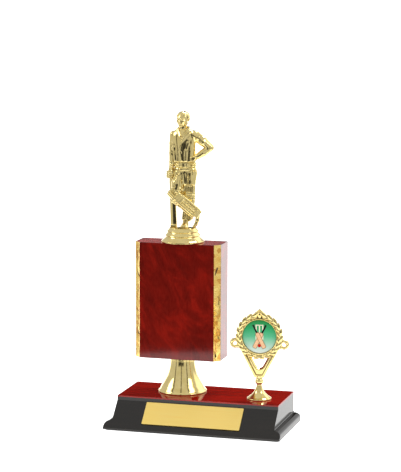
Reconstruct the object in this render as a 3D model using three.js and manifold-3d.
// A cricket column trophy, in millimetres, +Z up, with its front towards -Y.
// The origin is at the middle of the underside. A wooden base carries a flared riser, a laminated
// column and a cricketer on a stepped plinth, all held by one tie rod, and a medal holder beside them.
import * as THREE from "three";
import { ConvexGeometry } from "three/addons/geometries/ConvexGeometry.js";
import { mergeVertices } from "three/addons/utils/BufferGeometryUtils.js";
import Module from "manifold-3d";

const wasm = await Module();
wasm.setup();

// Base
const FELT_THICKNESS = 0.8;
const FELT_INSET = 1.5;
const BASE_HEIGHT = 23;
const BASE_TOP_WIDTH = 124.5;
const BASE_TOP_DEPTH = 50.4;
const BASE_DEPTH = 69;
const ROLL_WIDTH = 5.6;
const ROLL_HEIGHT = 6.9;
const ROLL_EDGE = 3.4;
const ROLL_SHOULDER = 1;
const BEAD_RADIUS = 0.5;
const TOP_BAND = 3.4;
const BOTTOM_BAND = 2;
const TOP_SHEET = 1;
const SHEET_GAP = 0.05;

// Engraving plate
const PLATE_WIDTH = 75;
const PLATE_HEIGHT = 19.5;
const PLATE_THICKNESS = 0.5;
const PLATE_CENTRE_X = -1.1;
const PLATE_TOP_MARGIN = 1;
const PLATE_CORNER = 0.6;
const TAPE_MARGIN = 1.5;
const TAPE_THICKNESS = 0.2;

// Tie rod, one size for everything on it
const AXIS_X = -19.5;
const AXIS_Y = 13;
const ROD_RADIUS = 3;
const ROD_CLEARANCE = 0.3;
const ROD_BOTTOM = 2.6;
const ROD_CHAMFER = 0.5;
const NUT_ACROSS_FLATS = 10;
const NUT_THICKNESS = 5;
const NUT_BORE_CLEARANCE = 0.05;
const WASHER_RADIUS = 9;
const WASHER_THICKNESS = 1.6;
const LOCK_WASHER_RADIUS = 5.9;
const LOCK_WASHER_THICKNESS = 1.6;
const LOCK_WASHER_SLIT = 0.8;
const COUNTERBORE_TOP = 12;
const ROD_COUNTERBORE_RADIUS = 10;

// Riser
const RISER_HEIGHT = 26.4;
const RISER_RADIUS = 18.4;
const RISER_TOP_RADIUS = 9.2;
const RISER_LIP = 1.4;
const RISER_WALL = 1.6;
const RISER_CEILING = 2;
const RISER_BOSS_RADIUS = 5.5;
const RISER_FOOT_CHAMFER = 0.4;
const RISER_CURVE_STEPS = 8;
// The outer wall between the lip and the neck, as [radius, height].
const RISER_CURVE = [[16.1, 4.6], [14.3, 7.6], [11.6, 13], [10, 18.4]];

// Column
const COLUMN_X = -21;
const COLUMN_WIDTH = 66.6;
const COLUMN_DEPTH = 24;
const COLUMN_HEIGHT = 88.2;
const COLUMN_CHAMFER = 4.3;
const LAMINATE = 0.8;

// Figure and its plinth
const PLINTH_HEIGHT = 11.1;
const PLINTH_RADIUS = 16.2;
const PLINTH_TOP_RADIUS = 9.9;
const PLINTH_WALL = 1.6;
const PLINTH_BOSS_RADIUS = 7.2;
const FIGURE_NUT_BOTTOM = 3;
const NUT_POCKET_GAP = 0.05;
const PLINTH_FOOT_CHAMFER = 0.5;
const PLINTH_FOOT_HEIGHT = 1.2;
// The tiers above the foot, and the hollow inside them, as [radius, height].
const PLINTH_TIERS = [[12.7, 4.9], [13.3, 5.2], [13.1, 5.7], [11.6, 8.1], [12, 8.4], [11.8, 8.9]];
const PLINTH_HOLLOW = [[10.6, 6.6], [11.2, 4.6]];
const PLINTH_HOLLOW_TOP_RADIUS = 8.6;

// Medal holder, standing on the base
const HOLDER_X = 43;
const HOLDER_Y = 3;
const HOLDER_TURN = THREE.MathUtils.degToRad(5.5);
const FOOT_RADIUS = 9.2;
const KNOB_HEIGHT = 13.5;
const KNOB_RADIUS = 3.1;
const V_BOTTOM = 16.4;
const V_BOTTOM_HALF = 3.5;
const V_TOP = 39.5;
const V_TOP_HALF = 15.3;
const V_THICKNESS = 3;
const OPENING_TOP = 31.6;
const OPENING_TOP_HALF = 6.6;
const OPENING_BOTTOM = 24.6;
const OPENING_BOTTOM_HALF = 2.6;
const OPENING_ROUNDING = 2.8;
const STEM_NECK_RADIUS = 1.9;
const STEM_TOP_RADIUS = 2.6;
const STEM_OVERLAP = 2;
const FOOT_CHAMFER = 0.4;
// The stem above the foot's rim, as [radius, height].
const STEM_CURVE = [[6.6, 3], [4, 5.4], [2.7, 8], [2, 10.6]];
const RING_CENTRE = 47.4;
const RING_RADIUS = 15.9;
const RING_THICKNESS = 3.2;
const DISC_RADIUS = 12.5;
const DISC_THICKNESS = 1;
const DISC_CLEARANCE = 0.15;
const SEAT_DEPTH = 1.7;
const DISC_TAPE_THICKNESS = 0.2;
const TIP_HEIGHT = 68.2;
const TIP_HALF_WIDTH = 5;
const TIP_ABOVE_CENTRE = 14.6;
const TIP_INSET = 0.4;
const LEAVES_PER_SIDE = 10;
const LEAF_LENGTH = 2.9;
const LEAF_WIDTH = 1.35;
const LEAF_DEPTH = 1.1;
const LEAF_LEAN = 0.35;
const LEAF_SINK = 0.2;
const LEAF_RING_INSET = 0.4;
const SCROLL_X = 17.9;
const SCROLL_HEIGHT = 41.6;
const SCROLL_RADIUS = 3.3;
const SCROLL_WIRE = 1.25;
const SCREW_RADIUS = 1.75;
const SCREW_HEAD_RADIUS = 3.5;
const SCREW_HEAD_HEIGHT = 2.4;
const SCREW_ENGAGEMENT = 7;
const SCREW_CLEARANCE = 0.05;
const SCREW_WASHER_RADIUS = 4;
const SCREW_WASHER_THICKNESS = 0.8;
const SCREW_COUNTERBORE_RADIUS = 4.6;

// How many sides round things have
const ROUND = 32;
const SMALL_ROUND = 20;
const LIMB_SIDES = 9;
const HEAD_SIDES = 14;
const HAND_SIDES = 8;

// Worked out from the dimensions above
const BODY_TOP = BASE_HEIGHT - TOP_SHEET;
const BASE_BACK = BASE_DEPTH / 2;
const BASE_TOP_FRONT = BASE_BACK - BASE_TOP_DEPTH;
const BASE_WIDTH = BASE_TOP_WIDTH + 2 * ROLL_WIDTH;
const ROD_HOLE = ROD_RADIUS + ROD_CLEARANCE;
const COLUMN_BOTTOM = BASE_HEIGHT + RISER_HEIGHT;
const COLUMN_TOP = COLUMN_BOTTOM + COLUMN_HEIGHT;
const FIGURE_BOTTOM = COLUMN_TOP + PLINTH_HEIGHT;
const FIGURE_NUT_Z = COLUMN_TOP + FIGURE_NUT_BOTTOM;
const ROD_TOP = FIGURE_NUT_Z + NUT_THICKNESS + ROD_CHAMFER;

const trophy = new THREE.Group();

const materials = {
  felt: new THREE.MeshStandardMaterial({ color: 0x15181a, roughness: 0.95 }),
  blackWood: new THREE.MeshStandardMaterial({ color: 0x14120f, roughness: 0.15 }),
  redWood: new THREE.MeshStandardMaterial({ color: 0x7a1209, roughness: 0.15 }),
  fibreboard: new THREE.MeshStandardMaterial({ color: 0x9c7a52, roughness: 0.85 }),
  goldPlate: new THREE.MeshStandardMaterial({ color: 0xf4d07a, roughness: 0.35, metalness: 0.9 }),
  goldPlastic: new THREE.MeshStandardMaterial({ color: 0xdcc98a, roughness: 0.2, metalness: 1 }),
  goldFoil: new THREE.MeshStandardMaterial({ color: 0xe6c06a, roughness: 0.25, metalness: 1 }),
  tape: new THREE.MeshStandardMaterial({ color: 0xe8e6df, roughness: 0.7 }),
  steel: new THREE.MeshStandardMaterial({ color: 0xb9bcc0, roughness: 0.3, metalness: 1 }),
  print: new THREE.MeshStandardMaterial({ color: 0x2fa76b, roughness: 0.2 }),
};

// --- Helpers ---

function toSolid(geometry) {
  const bare = geometry.index ? geometry.toNonIndexed() : geometry.clone();
  bare.deleteAttribute("normal");
  bare.deleteAttribute("uv");
  const merged = mergeVertices(bare, 1e-4);
  const corners = merged.index.array;
  const kept = [];
  for (let i = 0; i < corners.length; i += 3) {
    const [a, b, c] = [corners[i], corners[i + 1], corners[i + 2]];
    if (a !== b && b !== c && c !== a) kept.push(a, b, c);
  }
  return new wasm.Manifold(
    new wasm.Mesh({
      numProp: 3,
      vertProperties: new Float32Array(merged.attributes.position.array),
      triVerts: new Uint32Array(kept),
    }),
  );
}

function toGeometry(solid) {
  const mesh = solid.getMesh();
  const geometry = new THREE.BufferGeometry();
  geometry.setAttribute("position", new THREE.BufferAttribute(mesh.vertProperties, 3));
  geometry.setIndex(new THREE.BufferAttribute(mesh.triVerts, 1));
  geometry.computeVertexNormals();
  return geometry;
}

function join(geometries) {
  return geometries.map(toSolid).reduce((all, one) => all.add(one));
}

function cut(geometry, tools) {
  return toGeometry(tools.map(toSolid).reduce((left, tool) => left.subtract(tool), toSolid(geometry)));
}

function addMesh(parent, name, geometry, material) {
  const mesh = new THREE.Mesh(geometry, material);
  mesh.name = name;
  parent.add(mesh);
  return mesh;
}

function addGroup(x, y, z) {
  const group = new THREE.Group();
  group.position.set(x, y, z);
  trophy.add(group);
  return group;
}

function shapeOf(points) {
  return new THREE.Shape(points.map(([x, y]) => new THREE.Vector2(x, y)));
}

// A shape in X and Y, extruded up from z.
function prism(shape, height, z = 0, curveSegments = 12) {
  const geometry = new THREE.ExtrudeGeometry(shape, { depth: height, bevelEnabled: false, curveSegments });
  return geometry.translate(0, 0, z);
}

// A shape drawn in X and Z, extruded along Y from front to back.
function extrudeAlongY(shape, front, back, curveSegments = 12) {
  const geometry = new THREE.ExtrudeGeometry(shape, {
    depth: back - front,
    bevelEnabled: false,
    curveSegments,
  });
  return geometry.rotateX(Math.PI / 2).translate(0, back, 0);
}

// A shape drawn in Y and Z, extruded along X over a width centred on the origin.
function extrudeAlongX(shape, width) {
  const geometry = new THREE.ExtrudeGeometry(shape, { depth: width, bevelEnabled: false });
  geometry.translate(0, 0, -width / 2);
  return geometry.applyMatrix4(new THREE.Matrix4().set(0, 0, 1, 0, 1, 0, 0, 0, 0, 1, 0, 0, 0, 0, 0, 1));
}

function box(x0, x1, y0, y1, z0, z1) {
  const geometry = new THREE.BoxGeometry(x1 - x0, y1 - y0, z1 - z0);
  return geometry.translate((x0 + x1) / 2, (y0 + y1) / 2, (z0 + z1) / 2);
}

function cylinder(x, y, z, radius, height, segments = SMALL_ROUND) {
  const geometry = new THREE.CylinderGeometry(radius, radius, height, segments);
  return geometry.rotateX(Math.PI / 2).translate(x, y, z + height / 2);
}

// A closed profile of [radius, height] points turned about Z, whichever way round the profile is listed.
function turned(profile, segments = ROUND) {
  const area = profile.reduce((sum, [r, h], i) => {
    const [nextR, nextH] = profile[(i + 1) % profile.length];
    return sum + r * nextH - nextR * h;
  }, 0);
  const ordered = area > 0 ? profile : [...profile].reverse();
  const points = [...ordered, ordered[0]].map(([r, h]) => new THREE.Vector2(r, h));
  return new THREE.LatheGeometry(points, segments).rotateX(Math.PI / 2);
}

function hexagon(acrossFlats) {
  const corner = acrossFlats / Math.sqrt(3);
  const points = [0, 1, 2, 3, 4, 5].map((i) => {
    const angle = (i * Math.PI) / 3;
    return [corner * Math.cos(angle), corner * Math.sin(angle)];
  });
  return shapeOf(points);
}

function roundHole(radius, x = 0, y = 0) {
  const hole = new THREE.Path();
  hole.absarc(x, y, radius, 0, 2 * Math.PI, true);
  return hole;
}

function nut(z) {
  const shape = hexagon(NUT_ACROSS_FLATS);
  shape.holes.push(roundHole(ROD_RADIUS + NUT_BORE_CLEARANCE));
  return prism(shape, NUT_THICKNESS, z, SMALL_ROUND / 2);
}

function roundedRectangle(width, height, radius) {
  const [x, y] = [width / 2, height / 2];
  const shape = new THREE.Shape();
  shape.absarc(x - radius, y - radius, radius, 0, Math.PI / 2);
  shape.absarc(-x + radius, y - radius, radius, Math.PI / 2, Math.PI);
  shape.absarc(-x + radius, -y + radius, radius, Math.PI, 1.5 * Math.PI);
  shape.absarc(x - radius, -y + radius, radius, 1.5 * Math.PI, 2 * Math.PI);
  shape.closePath();
  return shape;
}

// --- Base ---

// The end view of the base: walls that end in a bead and a quarter-round roll on each side.
function baseEndProfile() {
  const wall = BASE_TOP_WIDTH / 2;
  const rollCentre = wall + ROLL_SHOULDER;
  const beadCentre = ROLL_HEIGHT + BEAD_RADIUS;
  const shape = new THREE.Shape();
  shape.moveTo(-wall - ROLL_WIDTH, FELT_THICKNESS);
  shape.lineTo(wall + ROLL_WIDTH, FELT_THICKNESS);
  shape.lineTo(wall + ROLL_WIDTH, ROLL_EDGE);
  shape.absellipse(
    rollCentre, ROLL_EDGE, ROLL_WIDTH - ROLL_SHOULDER, ROLL_HEIGHT - ROLL_EDGE, 0, Math.PI / 2, false, 0,
  );
  shape.lineTo(wall, ROLL_HEIGHT);
  shape.absarc(wall, beadCentre, BEAD_RADIUS, -Math.PI / 2, Math.PI / 2, false);
  shape.lineTo(wall, BODY_TOP);
  shape.lineTo(-wall, BODY_TOP);
  shape.absarc(-wall, beadCentre, BEAD_RADIUS, Math.PI / 2, 1.5 * Math.PI, false);
  shape.lineTo(-rollCentre, ROLL_HEIGHT);
  shape.absellipse(
    -rollCentre, ROLL_EDGE, ROLL_WIDTH - ROLL_SHOULDER, ROLL_HEIGHT - ROLL_EDGE, Math.PI / 2, Math.PI, false, 0,
  );
  shape.closePath();
  return shape;
}

// The side view of the base: upright back, and a front that slopes between two upright bands.
function baseSideProfile() {
  return shapeOf([
    [-BASE_BACK, 0],
    [BASE_BACK, 0],
    [BASE_BACK, BASE_HEIGHT],
    [BASE_TOP_FRONT, BASE_HEIGHT],
    [BASE_TOP_FRONT, BASE_HEIGHT - TOP_BAND],
    [-BASE_BACK, BOTTOM_BAND],
  ]);
}

function buildBase() {
  const ends = toSolid(extrudeAlongY(baseEndProfile(), -BASE_BACK, BASE_BACK));
  const sides = toSolid(extrudeAlongX(baseSideProfile(), BASE_WIDTH));
  const bores = [
    cylinder(AXIS_X, AXIS_Y, 0, ROD_HOLE, BASE_HEIGHT),
    cylinder(AXIS_X, AXIS_Y, 0, ROD_COUNTERBORE_RADIUS, COUNTERBORE_TOP, ROUND),
    cylinder(HOLDER_X, HOLDER_Y, 0, SCREW_RADIUS + SCREW_CLEARANCE, BASE_HEIGHT),
    cylinder(HOLDER_X, HOLDER_Y, 0, SCREW_COUNTERBORE_RADIUS, COUNTERBORE_TOP),
  ];
  const body = bores.map(toSolid).reduce((left, bore) => left.subtract(bore), ends.intersect(sides));
  addMesh(trophy, "plinth_body", toGeometry(body), materials.blackWood);

  const sheet = shapeOf([
    [-BASE_TOP_WIDTH / 2, BASE_TOP_FRONT],
    [BASE_TOP_WIDTH / 2, BASE_TOP_FRONT],
    [BASE_TOP_WIDTH / 2, BASE_BACK],
    [-BASE_TOP_WIDTH / 2, BASE_BACK],
  ]);
  sheet.holes.push(roundHole(ROD_HOLE, AXIS_X, AXIS_Y));
  sheet.holes.push(roundHole(SCREW_RADIUS + SCREW_CLEARANCE, HOLDER_X, HOLDER_Y));
  addMesh(trophy, "plinth_top_laminate", prism(sheet, TOP_SHEET, BODY_TOP), materials.redWood);

  const felt = roundedRectangle(BASE_WIDTH - 2 * FELT_INSET, BASE_DEPTH - 2 * FELT_INSET, FELT_INSET);
  felt.holes.push(roundHole(ROD_COUNTERBORE_RADIUS, AXIS_X, AXIS_Y));
  felt.holes.push(roundHole(SCREW_COUNTERBORE_RADIUS, HOLDER_X, HOLDER_Y));
  addMesh(trophy, "base_felt", prism(felt, FELT_THICKNESS, 0, 8), materials.felt);
}

// The plate and its tape lie on the sloping front, in a group turned to it.
function buildEngravingPlate() {
  const run = BASE_TOP_FRONT + BASE_BACK;
  const drop = BASE_HEIGHT - TOP_BAND - BOTTOM_BAND;
  const group = addGroup(PLATE_CENTRE_X, BASE_TOP_FRONT, BASE_HEIGHT - TOP_BAND);
  group.rotation.x = Math.atan2(drop, run);
  const middle = -PLATE_TOP_MARGIN - PLATE_HEIGHT / 2;
  const tape = box(
    -PLATE_WIDTH / 2 + TAPE_MARGIN,
    PLATE_WIDTH / 2 - TAPE_MARGIN,
    middle - PLATE_HEIGHT / 2 + TAPE_MARGIN,
    middle + PLATE_HEIGHT / 2 - TAPE_MARGIN,
    SHEET_GAP,
    SHEET_GAP + TAPE_THICKNESS,
  );
  addMesh(group, "engraving_plate_tape", tape, materials.tape);
  const outline = roundedRectangle(PLATE_WIDTH, PLATE_HEIGHT, PLATE_CORNER);
  const plate = prism(outline, PLATE_THICKNESS, 2 * SHEET_GAP + TAPE_THICKNESS, 4);
  addMesh(group, "engraving_plate", plate.translate(0, middle, 0), materials.goldPlate);
}

// --- Tie rod and its fixings ---

function ring(radius, hole, height, z) {
  const shape = new THREE.Shape();
  shape.absarc(0, 0, radius, 0, 2 * Math.PI, false);
  shape.holes.push(roundHole(hole));
  return prism(shape, height, z, SMALL_ROUND / 2);
}

function buildTieRod() {
  const group = addGroup(AXIS_X, AXIS_Y, 0);
  const chamfered = ROD_RADIUS - ROD_CHAMFER;
  const rod = turned([
    [0, ROD_BOTTOM],
    [chamfered, ROD_BOTTOM],
    [ROD_RADIUS, ROD_BOTTOM + ROD_CHAMFER],
    [ROD_RADIUS, ROD_TOP - ROD_CHAMFER],
    [chamfered, ROD_TOP],
    [0, ROD_TOP],
  ], SMALL_ROUND);
  addMesh(group, "tie_rod", rod, materials.steel);

  const washerZ = COUNTERBORE_TOP - WASHER_THICKNESS;
  const washer = ring(WASHER_RADIUS, ROD_HOLE, WASHER_THICKNESS, washerZ);
  addMesh(group, "tie_rod_washer", washer, materials.steel);

  const lockZ = washerZ - LOCK_WASHER_THICKNESS;
  const slit = box(
    0, LOCK_WASHER_RADIUS + 1, -LOCK_WASHER_SLIT / 2, LOCK_WASHER_SLIT / 2, lockZ - 1, washerZ + 1,
  );
  const lockRing = ring(LOCK_WASHER_RADIUS, ROD_HOLE, LOCK_WASHER_THICKNESS, lockZ);
  addMesh(group, "tie_rod_lock_washer", cut(lockRing, [slit]), materials.steel);

  addMesh(group, "tie_rod_nut", nut(lockZ - NUT_THICKNESS), materials.steel);
  addMesh(group, "figure_nut", nut(FIGURE_NUT_Z), materials.steel);
}

// --- Riser ---

function buildRiser() {
  // The trumpet's outer wall, from the lip at the foot to the neck under the column.
  const wall = new THREE.SplineCurve([
    new THREE.Vector2(RISER_RADIUS, RISER_LIP),
    ...RISER_CURVE.map(([radius, height]) => new THREE.Vector2(radius, height)),
    new THREE.Vector2(RISER_TOP_RADIUS, RISER_HEIGHT),
  ]).getPoints(RISER_CURVE_STEPS);
  const outer = wall.map((p) => [p.x, p.y]);
  const ceiling = RISER_HEIGHT - RISER_CEILING;
  const inner = wall
    .filter((p, i) => i % 2 === 0 && p.y < ceiling)
    .map((p) => [p.x - RISER_WALL, p.y])
    .reverse();
  const profile = [
    [RISER_RADIUS - RISER_WALL, 0],
    [RISER_RADIUS - RISER_FOOT_CHAMFER, 0],
    [RISER_RADIUS, RISER_FOOT_CHAMFER],
    ...outer,
    [ROD_HOLE, RISER_HEIGHT],
    [ROD_HOLE, 0],
    [RISER_BOSS_RADIUS, 0],
    [RISER_BOSS_RADIUS, ceiling],
    [RISER_TOP_RADIUS - RISER_WALL, ceiling],
    ...inner,
  ];
  const group = addGroup(AXIS_X, AXIS_Y, BASE_HEIGHT);
  addMesh(group, "riser", turned(profile), materials.goldPlastic);
}

// --- Column ---

function buildColumn() {
  const group = addGroup(COLUMN_X, AXIS_Y, COLUMN_BOTTOM);
  const rodX = AXIS_X - COLUMN_X;
  const [x, y] = [COLUMN_WIDTH / 2, COLUMN_DEPTH / 2];
  const [frontX, sideY] = [x - COLUMN_CHAMFER, -y + COLUMN_CHAMFER];
  const [coreX, coreY] = [x - LAMINATE, y - LAMINATE];

  const coreOutline = () => {
    const shape = shapeOf([
      [-frontX, -coreY],
      [frontX, -coreY],
      [coreX, sideY],
      [coreX, coreY],
      [-coreX, coreY],
      [-coreX, sideY],
    ]);
    shape.holes.push(roundHole(ROD_HOLE, rodX, 0));
    return shape;
  };
  const coreHeight = COLUMN_HEIGHT - 2 * LAMINATE;
  addMesh(group, "column_core", prism(coreOutline(), coreHeight, LAMINATE), materials.fibreboard);
  addMesh(group, "column_bottom_laminate", prism(coreOutline(), LAMINATE), materials.redWood);
  const topSheet = prism(coreOutline(), LAMINATE, COLUMN_HEIGHT - LAMINATE);
  addMesh(group, "column_top_laminate", topSheet, materials.redWood);

  const front = box(-frontX, frontX, -y, -coreY, 0, COLUMN_HEIGHT);
  addMesh(group, "column_front_laminate", front, materials.redWood);
  const back = box(-x, x, coreY, y, 0, COLUMN_HEIGHT);
  addMesh(group, "column_back_laminate", back, materials.redWood);

  for (const [side, sign] of [["left", -1], ["right", 1]]) {
    const [inner, outer] = [sign * coreX, sign * x].sort((a, b) => a - b);
    const edge = box(inner, outer, sideY, coreY, 0, COLUMN_HEIGHT);
    addMesh(group, `column_${side}_edge_laminate`, edge, materials.redWood);
    const strip = shapeOf([
      [sign * frontX, -y],
      [sign * x, sideY],
      [sign * coreX, sideY],
      [sign * frontX, -coreY],
    ]);
    addMesh(group, `column_${side}_trim`, prism(strip, COLUMN_HEIGHT), materials.goldFoil);
  }
}

// --- Figure ---

// The plinth's three tiers each overhang the one below them a little.
function buildFigurePlinth() {
  const pocketBottom = FIGURE_NUT_BOTTOM - NUT_POCKET_GAP;
  const pocketHeight = NUT_THICKNESS + 2 * NUT_POCKET_GAP;
  const ceiling = PLINTH_HEIGHT - PLINTH_WALL;
  const boreTop = ROD_TOP - COLUMN_TOP + ROD_CLEARANCE;
  const shell = turned([
    [PLINTH_RADIUS - PLINTH_WALL, 0],
    [PLINTH_RADIUS - PLINTH_FOOT_CHAMFER, 0],
    [PLINTH_RADIUS, PLINTH_FOOT_CHAMFER],
    [PLINTH_RADIUS, PLINTH_FOOT_HEIGHT],
    ...PLINTH_TIERS,
    [PLINTH_TOP_RADIUS, PLINTH_HEIGHT],
    [0, PLINTH_HEIGHT],
    [0, boreTop],
    [PLINTH_BOSS_RADIUS, boreTop],
    [PLINTH_BOSS_RADIUS, ceiling],
    [PLINTH_HOLLOW_TOP_RADIUS, ceiling],
    ...PLINTH_HOLLOW,
  ]);
  const boss = turned([
    [ROD_HOLE, 0],
    [PLINTH_BOSS_RADIUS, 0],
    [PLINTH_BOSS_RADIUS, ceiling + PLINTH_WALL / 2],
    [ROD_HOLE, ceiling + PLINTH_WALL / 2],
  ]);
  const pocket = prism(hexagon(NUT_ACROSS_FLATS + 2 * NUT_POCKET_GAP), pocketHeight, pocketBottom);
  const bore = cylinder(0, 0, 0, ROD_HOLE, boreTop);
  const solid = join([shell, boss]).subtract(toSolid(pocket)).subtract(toSolid(bore));
  const group = addGroup(AXIS_X, AXIS_Y, COLUMN_TOP);
  addMesh(group, "figure_plinth", toGeometry(solid), materials.goldPlastic);
}

// The smallest solid round some balls, each [x, y, z, radius] or [x, y, z, rx, ry, rz].
function hull(balls, segments = LIMB_SIDES) {
  const points = [];
  for (const [x, y, z, rx, ry = rx, rz = rx] of balls) {
    const ball = new THREE.SphereGeometry(1, segments, Math.round(segments / 1.5));
    ball.scale(rx, ry, rz).translate(x, y, z);
    const seen = mergeVertices(ball.deleteAttribute("normal").deleteAttribute("uv"), 1e-3);
    const spots = seen.attributes.position;
    for (let i = 0; i < spots.count; i++) {
      points.push(new THREE.Vector3().fromBufferAttribute(spots, i));
    }
  }
  return new ConvexGeometry(points);
}

function ball([x, y, z], [rx, ry, rz], segments = HEAD_SIDES) {
  const geometry = new THREE.SphereGeometry(1, segments, Math.round(segments / 1.5));
  return geometry.rotateX(Math.PI / 2).scale(rx, ry, rz).translate(x, y, z);
}

// A box between two points, as wide as half sizes say across and front to back.
function slab(from, to, halfWidth, halfDepth) {
  const start = new THREE.Vector3(...from);
  const end = new THREE.Vector3(...to);
  const geometry = new THREE.BoxGeometry(2 * halfWidth, 2 * halfDepth, start.distanceTo(end));
  const along = end.clone().sub(start).normalize();
  geometry.applyQuaternion(new THREE.Quaternion().setFromUnitVectors(new THREE.Vector3(0, 0, 1), along));
  const middle = start.add(end).multiplyScalar(0.5);
  return geometry.translate(middle.x, middle.y, middle.z);
}

// A cricketer in sweater and pads, one leg crossed over the other, leaning on a bat.
function figurePieces() {
  const hip = { left: [-1.4, -0.6, 40.5], right: [5.6, 0.4, 40.5] };
  const knee = { left: [-4.6, -5, 26.8], right: [4.4, 2.4, 25] };
  const ankle = { left: [13.4, -3, 12], right: [1.2, 3, 5.5] };
  const toe = [9, -0.6, 1.4];
  const shoulder = { left: [-7, 0, 67.4], right: [9, 0, 68.6] };
  const elbow = { left: [-8.2, 0.6, 53.6], right: [20.8, 2.6, 59.4] };
  const hand = { left: [-9.2, -1.6, 39.6], right: [10.8, -1, 52.2] };
  const trunk = [
    hull([[2.2, 0, 40.6, 7.2, 4.6, 3.4], [2.2, 0, 48, 6.6, 4.4, 2.6]]),
    hull([[2.2, 0, 48, 6.4, 4.4, 2], [1.4, 0, 62, 8.4, 5, 4], [1, 0.4, 67.6, 8.4, 3.6, 2.8]]),
    hull([[...shoulder.left, 2.9], [0.6, 0.4, 71.4, 2.8], [...shoulder.right, 2.9]]),
    ball([2.1, 0, 46.6], [7.3, 5, 1.2]),
  ];
  const head = [
    hull([[0.2, 0.4, 70, 2.6], [-0.1, -0.1, 76, 2.4]]),
    ball([-0.2, -0.1, 80.2], [4.5, 5.2, 6.1]),
    ball([0.1, 0.7, 81.4], [4.9, 5.1, 5.3]),
    ball([-0.9, -5.2, 79.4], [0.8, 0.8, 1.4], HAND_SIDES),
    ball([0.6, -0.1, 72.4], [3.8, 3.6, 1.2]),
  ];
  const arms = [
    hull([[...shoulder.left, 2.7], [...elbow.left, 2.3]]),
    hull([[...elbow.left, 2.3], [...hand.left, 1.8]]),
    ball(hand.left, [2.5, 2.2, 2.6], HAND_SIDES),
    hull([[...shoulder.right, 2.8], [...elbow.right, 2.4]]),
    hull([[...elbow.right, 2.3], [...hand.right, 1.7]]),
    ball(hand.right, [2.2, 2, 2.2], HAND_SIDES),
  ];
  const legs = [
    hull([[...hip.left, 4.2], [...knee.left, 3.3]]),
    hull([[...knee.left, 3.1], [...ankle.left, 1.9]]),
    hull([[...ankle.left, 2], [...toe, 1.4]]),
    hull([[...hip.right, 4.3], [...knee.right, 3.4]]),
    hull([[...knee.right, 3.1], [...ankle.right, 2.1]]),
    hull([[1.4, 4.2, 2, 1.9], [0.6, -2.6, 1.6, 1.5]]),
  ];
  const pads = [
    hull([[-7.2, -6.6, 27.6, 1.7], [-3.4, -7.4, 30.6, 1.7], [13.2, -5.6, 10.4, 1.5], [15, -5.2, 13.4, 1.5]]),
    hull([[2.4, -0.6, 31, 1.6], [7.6, 0.2, 31, 1.6], [-0.6, 0.6, 7, 1.4], [3.4, 1, 7, 1.4]]),
  ];
  const bat = [
    slab([-9, -1.4, 44], [-7.6, -0.8, 27], 0.9, 0.9),
    slab([-7.9, -0.8, 30], [-6, -0.6, 0], 2.4, 1.3),
  ];
  return [...trunk, ...head, ...arms, ...legs, ...pads, ...bat];
}

function buildFigure() {
  const group = addGroup(AXIS_X, AXIS_Y, FIGURE_BOTTOM);
  const below = box(-20, 20, -20, 20, -10, 0);
  const figure = join(figurePieces()).subtract(toSolid(below));
  addMesh(group, "figure", toGeometry(figure), materials.goldPlastic);
}

// --- Medal holder ---

function ringAlongY(radius, front, back, segments = ROUND) {
  const geometry = new THREE.CylinderGeometry(radius, radius, back - front, segments);
  return geometry.translate(0, (front + back) / 2, 0);
}

// A laurel leaf, standing on the ring at an angle from straight down, leaning along the ring.
function leaf(angle, radius, side) {
  const geometry = new THREE.SphereGeometry(1, 6, 4).rotateX(Math.PI / 2);
  geometry.scale(LEAF_WIDTH, LEAF_DEPTH, LEAF_LENGTH);
  geometry.rotateY(side * (Math.PI / 2 - angle + LEAF_LEAN));
  const x = side * radius * Math.sin(angle);
  const z = -radius * Math.cos(angle);
  return geometry.translate(x, -RING_THICKNESS / 2 + LEAF_SINK, RING_CENTRE + z);
}

function wreathLeaves() {
  const leaves = [];
  for (let i = 0; i < LEAVES_PER_SIDE; i++) {
    const angle = (Math.PI * (i + 0.6)) / (LEAVES_PER_SIDE + 0.4);
    for (const side of [-1, 1]) {
      leaves.push(leaf(angle, RING_RADIUS - LEAF_RING_INSET, side));
    }
  }
  return leaves;
}

function vFrame() {
  const ringBottom = RING_CENTRE - DISC_RADIUS;
  const outline = shapeOf([
    [-V_TOP_HALF, V_TOP],
    [-V_BOTTOM_HALF, V_BOTTOM],
    [V_BOTTOM_HALF, V_BOTTOM],
    [V_TOP_HALF, V_TOP],
    [0, ringBottom],
  ]);
  const opening = new THREE.Path();
  opening.moveTo(-OPENING_TOP_HALF, OPENING_TOP);
  opening.lineTo(OPENING_TOP_HALF, OPENING_TOP);
  opening.lineTo(OPENING_BOTTOM_HALF, OPENING_BOTTOM);
  opening.quadraticCurveTo(0, OPENING_BOTTOM - OPENING_ROUNDING, -OPENING_BOTTOM_HALF, OPENING_BOTTOM);
  opening.closePath();
  outline.holes.push(opening);
  return extrudeAlongY(outline, -V_THICKNESS / 2, V_THICKNESS / 2, 6);
}

function holderStem() {
  const knob = [];
  for (let i = 0; i <= 6; i++) {
    const angle = -Math.PI / 2 + (Math.PI * i) / 6;
    const radius = Math.max(STEM_NECK_RADIUS, KNOB_RADIUS * Math.cos(angle));
    knob.push([radius, KNOB_HEIGHT + STEM_NECK_RADIUS * Math.sin(angle)]);
  }
  return turned([
    [SCREW_RADIUS + SCREW_CLEARANCE, 0],
    [FOOT_RADIUS - FOOT_CHAMFER, 0],
    [FOOT_RADIUS, FOOT_CHAMFER],
    [FOOT_RADIUS, 1],
    ...STEM_CURVE,
    ...knob,
    [STEM_TOP_RADIUS, V_BOTTOM],
    [STEM_TOP_RADIUS, V_BOTTOM + STEM_OVERLAP],
    [0, V_BOTTOM + STEM_OVERLAP],
    [0, SCREW_ENGAGEMENT + 1],
    [SCREW_RADIUS + SCREW_CLEARANCE, SCREW_ENGAGEMENT + 1],
  ], SMALL_ROUND);
}

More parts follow.
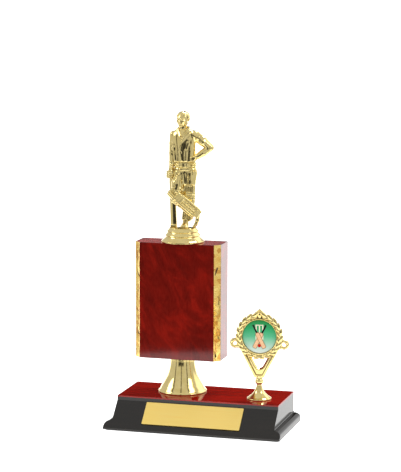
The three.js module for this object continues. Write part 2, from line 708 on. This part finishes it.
function buildMedalHolder() {
  const group = addGroup(HOLDER_X, HOLDER_Y, BASE_HEIGHT);
  group.rotation.z = HOLDER_TURN;
  const [front, back] = [-RING_THICKNESS / 2, RING_THICKNESS / 2];
  const seat = DISC_RADIUS + DISC_CLEARANCE;
  const tipBottom = RING_CENTRE + TIP_ABOVE_CENTRE;
  const tipOutline = shapeOf([[-TIP_HALF_WIDTH, tipBottom], [TIP_HALF_WIDTH, tipBottom], [0, TIP_HEIGHT]]);
  const tip = extrudeAlongY(tipOutline, front + TIP_INSET, back - TIP_INSET);
  const scrolls = [-1, 1].map((side) => {
    const torus = new THREE.TorusGeometry(SCROLL_RADIUS, SCROLL_WIRE, 8, 16).rotateX(Math.PI / 2);
    return torus.translate(side * SCROLL_X, 0, SCROLL_HEIGHT);
  });
  const ringSolid = ringAlongY(RING_RADIUS, front, back).translate(0, 0, RING_CENTRE);
  const pocket = ringAlongY(seat, front - 5, front + SEAT_DEPTH).translate(0, 0, RING_CENTRE);
  const rest = join([ringSolid, vFrame(), holderStem(), tip, ...scrolls, ...wreathLeaves()]);
  const holder = rest.subtract(toSolid(pocket));
  addMesh(group, "medal_holder", toGeometry(holder), materials.goldPlastic);

  const tapeBack = front + SEAT_DEPTH - SHEET_GAP;
  const tapeFront = tapeBack - DISC_TAPE_THICKNESS;
  const tape = ringAlongY(DISC_RADIUS - 2, tapeFront, tapeBack, SMALL_ROUND).translate(0, 0, RING_CENTRE);
  addMesh(group, "medal_disc_tape", tape, materials.tape);
  const discBack = tapeFront - SHEET_GAP;
  const disc = ringAlongY(DISC_RADIUS, discBack - DISC_THICKNESS, discBack).translate(0, 0, RING_CENTRE);
  addMesh(group, "medal_disc", disc, materials.print);
}

function buildHolderFixings() {
  const group = addGroup(HOLDER_X, HOLDER_Y, 0);
  const headTop = COUNTERBORE_TOP - SCREW_WASHER_THICKNESS;
  const screw = turned([
    [0, headTop - SCREW_HEAD_HEIGHT],
    [SCREW_HEAD_RADIUS - 1, headTop - SCREW_HEAD_HEIGHT],
    [SCREW_HEAD_RADIUS, headTop - SCREW_HEAD_HEIGHT + 1],
    [SCREW_HEAD_RADIUS, headTop],
    [SCREW_RADIUS, headTop],
    [SCREW_RADIUS, BASE_HEIGHT + SCREW_ENGAGEMENT - 2],
    [0, BASE_HEIGHT + SCREW_ENGAGEMENT],
  ], SMALL_ROUND);
  addMesh(group, "holder_screw", screw, materials.steel);
  const washer = ring(
    SCREW_WASHER_RADIUS, SCREW_RADIUS + SCREW_CLEARANCE, SCREW_WASHER_THICKNESS, headTop,
  );
  addMesh(group, "holder_washer", washer, materials.steel);
}

buildBase();
buildEngravingPlate();
buildTieRod();
buildRiser();
buildColumn();
buildFigurePlinth();
buildFigure();
buildMedalHolder();
buildHolderFixings();

export default trophy;
